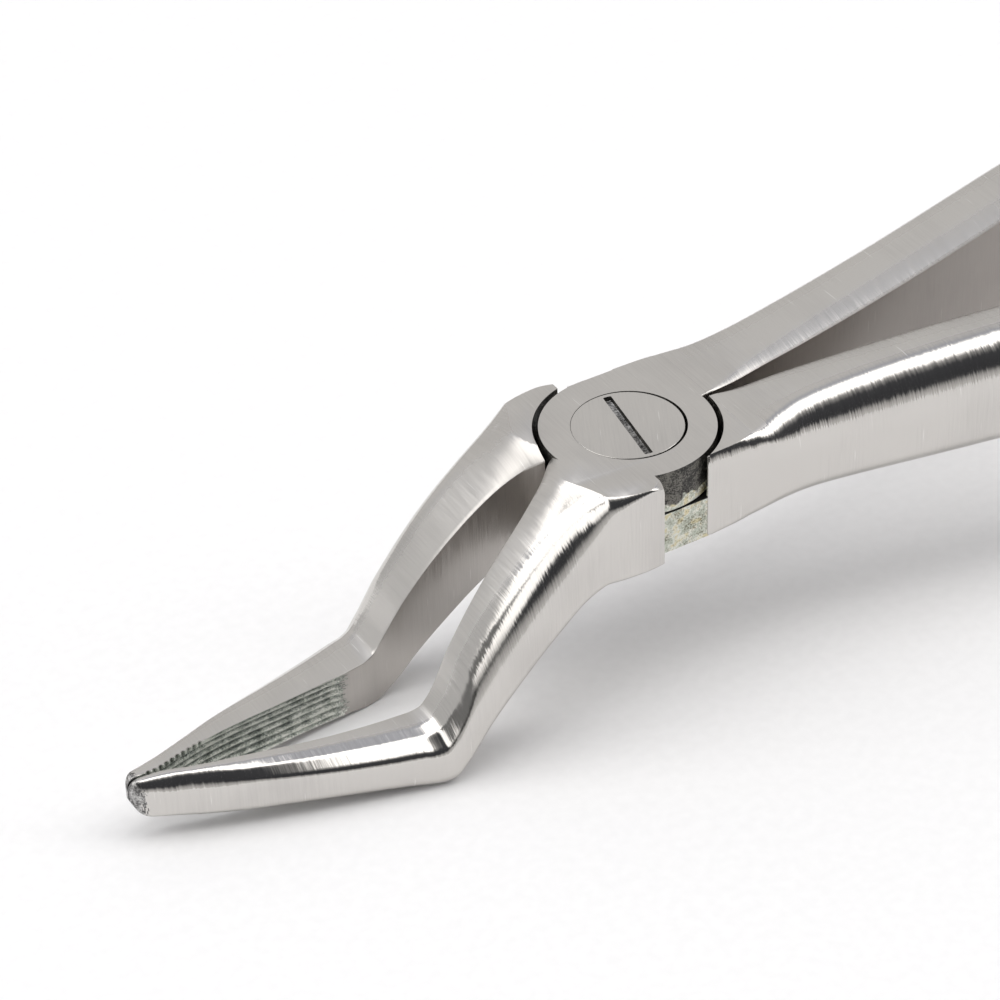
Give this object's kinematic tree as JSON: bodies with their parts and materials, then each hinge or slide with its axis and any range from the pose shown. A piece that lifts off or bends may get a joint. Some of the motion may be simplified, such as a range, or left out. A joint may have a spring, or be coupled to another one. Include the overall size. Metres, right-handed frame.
{
  "type": "extraction forceps",
  "caption": "Dental root extraction forceps with slim offset bayonet beaks, a flat lap joint on a flush slotted screw, and long bowed handles.",
  "frame": {"origin": "on the pivot axis, at the flat underside of the lap joint", "axes": "+X from the pivot to the handle ends, +Z along the pivot axis towards the slotted screw head, +Y across the closed halves; the beaks point along -X and step down in -Z"},
  "size_m": [0.1744, 0.0442, 0.0267],
  "materials": {
    "lower_half": "satin-ground flats, buffed rounded sides",
    "upper_half": "satin-ground flats, buffed rounded sides",
    "pivot_screw": "satin, ground flush with the joint"
  },
  "bodies": {
    "lower_side": {"lower_half": "lower_half", "pivot_screw": "pivot_screw"},
    "upper_side": {"upper_half": "upper_half"}
  },
  "joints": [
    {"name": "pivot", "type": "hinge", "parent": "lower_side", "child": "upper_side", "pos_m": [0, 0, 0.00445], "axis": [0, 0, 1], "range_deg": [0, 25]}
  ]
}
